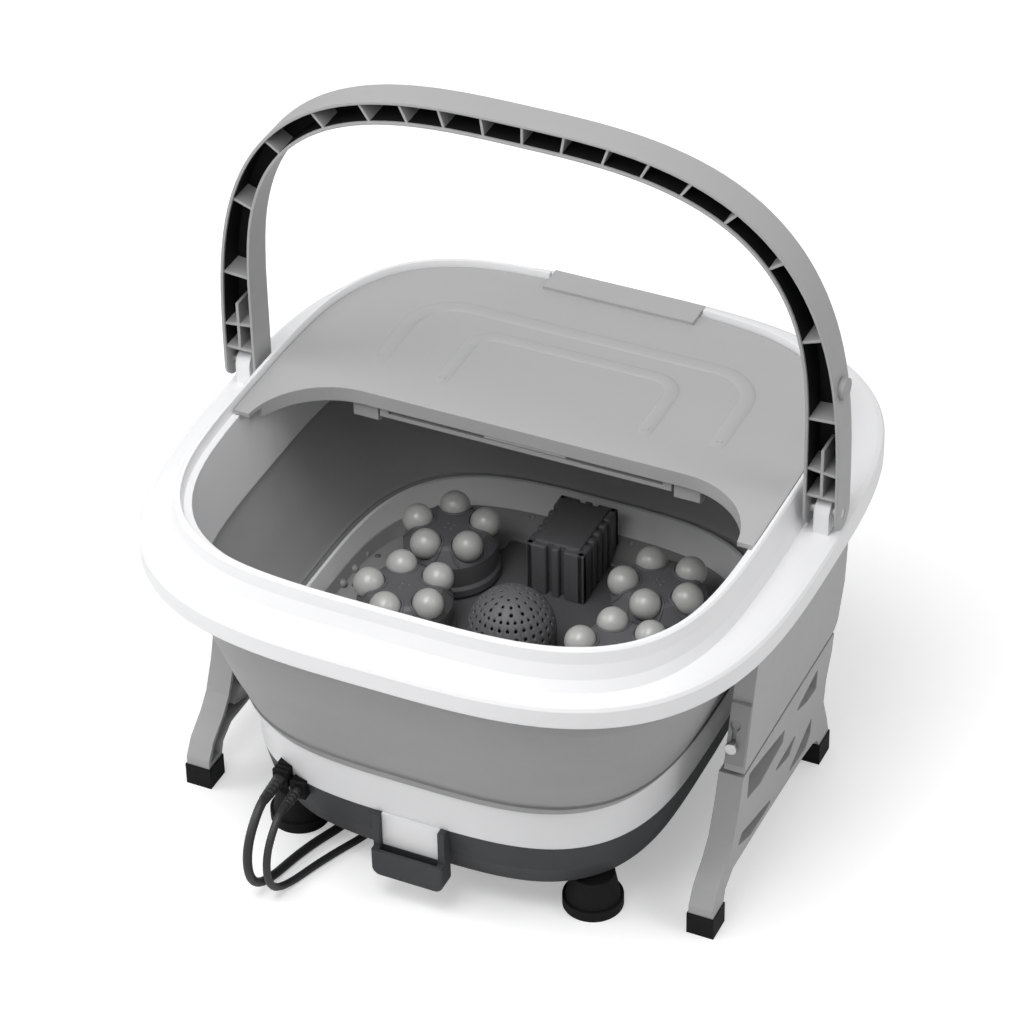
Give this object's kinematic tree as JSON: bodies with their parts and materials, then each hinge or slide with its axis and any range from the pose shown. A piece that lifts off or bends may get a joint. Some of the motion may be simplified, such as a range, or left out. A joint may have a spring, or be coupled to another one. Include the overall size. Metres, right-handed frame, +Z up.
{
  "type": "foot spa basin",
  "caption": "Collapsible foot spa basin with bellows wall, folding side legs, massage turrets with balls, bubble dome, heater block, half lid and carrying handle.",
  "frame": {"origin": "centre of the bounding box footprint on the floor, cords left out", "axes": "+X to the user's right, +Y to the rear (lid side), +Z up"},
  "size_m": [0.42, 0.5485, 0.4733],
  "materials": {
    "rim_plastic": "semi-gloss moulded white polypropylene",
    "tub_plastic": "semi-gloss moulded white polypropylene",
    "grey_plastic": "satin light grey moulded polypropylene",
    "handle_plastic": "satin light grey moulded polypropylene",
    "hinge_plastic": "satin mid grey moulded nylon",
    "bellows_rubber": "smooth matt grey thermoplastic rubber",
    "housing_plastic": "matt dark grey ABS",
    "floor_plastic": "matt dark grey ABS",
    "ball_plastic": "polished off-white acetal",
    "black_rubber": "matt black rubber",
    "cord_rubber": "satin black cord jacket",
    "steel": "plain steel",
    "pump_plastic": "black nylon",
    "heater_aluminium": "plain aluminium",
    "circuit_board": "green laminate"
  },
  "bodies": {
    "rim": {"rim_shell": "rim_plastic", "right_handle_pin": "steel", "left_handle_pin": "steel", "bellows": "bellows_rubber", "upper_clamp_ring": "bellows_rubber", "right_side_panel": "grey_plastic", "left_side_panel": "grey_plastic", "right_hinge_plate": "hinge_plastic", "left_hinge_plate": "hinge_plastic", "right_leg_pin": "steel", "left_leg_pin": "steel"},
    "handle": {"handle": "handle_plastic", "handle_bumper": "hinge_plastic"},
    "lid": {"lid": "grey_plastic", "lid_rail": "grey_plastic", "lid_strip": "rim_plastic", "lid_knuckles": "grey_plastic"},
    "base": {"water_tub": "tub_plastic", "floor_gasket": "black_rubber", "floor_plate": "floor_plastic", "bottom_housing": "housing_plastic", "housing_screws": "steel", "lower_clamp_ring": "bellows_rubber", "spindle_seals": "black_rubber", "heater_cover": "floor_plastic", "heater_core": "heater_aluminium", "air_dome": "floor_plastic", "air_pump": "pump_plastic", "control_board": "circuit_board", "terminal_block": "pump_plastic", "mains_grommet": "black_rubber", "control_grommet": "black_rubber", "front_grip": "housing_plastic", "grip_panel": "rim_plastic", "foot_posts": "black_rubber", "foot_pads": "black_rubber", "motor_front_left": "steel", "motor_front_right": "steel", "motor_rear_left": "steel", "motor_rear_right": "steel", "mains_lead": "cord_rubber", "mains_lead_coil": "cord_rubber", "mains_plug": "cord_rubber", "control_lead": "cord_rubber", "control_lead_coil": "cord_rubber", "control_connector": "cord_rubber"},
    "left_leg": {"left_leg": "grey_plastic", "left_leg_caps": "black_rubber"},
    "right_leg": {"right_leg": "grey_plastic", "right_leg_caps": "black_rubber"},
    "drain_cap": {"drain_cap": "housing_plastic"},
    "turret_front_left": {"turret_front_left": "floor_plastic", "balls_front_left": "ball_plastic"},
    "turret_front_right": {"turret_front_right": "floor_plastic", "balls_front_right": "ball_plastic"},
    "turret_rear_left": {"turret_rear_left": "floor_plastic", "balls_rear_left": "ball_plastic"},
    "turret_rear_right": {"turret_rear_right": "floor_plastic", "balls_rear_right": "ball_plastic"}
  },
  "joints": [
    {"name": "base_collapse", "type": "slide", "parent": "rim", "child": "base", "axis": [0, 0, 1], "range_m": [0, 0.098], "deforming": ["bellows"]},
    {"name": "right_leg_fold", "type": "hinge", "parent": "rim", "child": "right_leg", "pos_m": [0.1755, 0, 0.115], "axis": [0, 1, 0], "range_deg": [0, 66]},
    {"name": "left_leg_fold", "type": "hinge", "parent": "rim", "child": "left_leg", "pos_m": [-0.1755, 0, 0.115], "axis": [0, -1, 0], "range_deg": [0, 66]},
    {"name": "handle_fold", "type": "hinge", "parent": "rim", "child": "handle", "pos_m": [0, 0.0195, 0.242], "axis": [1, 0, 0], "range_deg": [0, 80]},
    {"name": "lid_lift", "type": "slide", "parent": "rim", "child": "lid", "axis": [0, 0, 1], "range_m": [0, 0.06]},
    {"name": "drain_cap_turn", "type": "hinge", "parent": "base", "child": "drain_cap", "pos_m": [0.066, -0.121, 0.022], "axis": [0, 0, 1], "range_deg": [0, 90]},
    {"name": "turret_front_left_spin", "type": "hinge", "parent": "base", "child": "turret_front_left", "pos_m": [-0.0745, -0.015, 0.09], "axis": [0, 0, 1], "continuous": true},
    {"name": "turret_front_right_spin", "type": "hinge", "parent": "base", "child": "turret_front_right", "pos_m": [0.0745, -0.015, 0.09], "axis": [0, 0, 1], "continuous": true},
    {"name": "turret_rear_left_spin", "type": "hinge", "parent": "base", "child": "turret_rear_left", "pos_m": [-0.0745, 0.054, 0.09], "axis": [0, 0, 1], "continuous": true},
    {"name": "turret_rear_right_spin", "type": "hinge", "parent": "base", "child": "turret_rear_right", "pos_m": [0.0745, 0.054, 0.09], "axis": [0, 0, 1], "continuous": true}
  ],
  "couplings": [
    {"joint": "right_leg_fold", "follows": "base_collapse", "rad_per_m": 11.754},
    {"joint": "left_leg_fold", "follows": "base_collapse", "rad_per_m": 11.754}
  ]
}
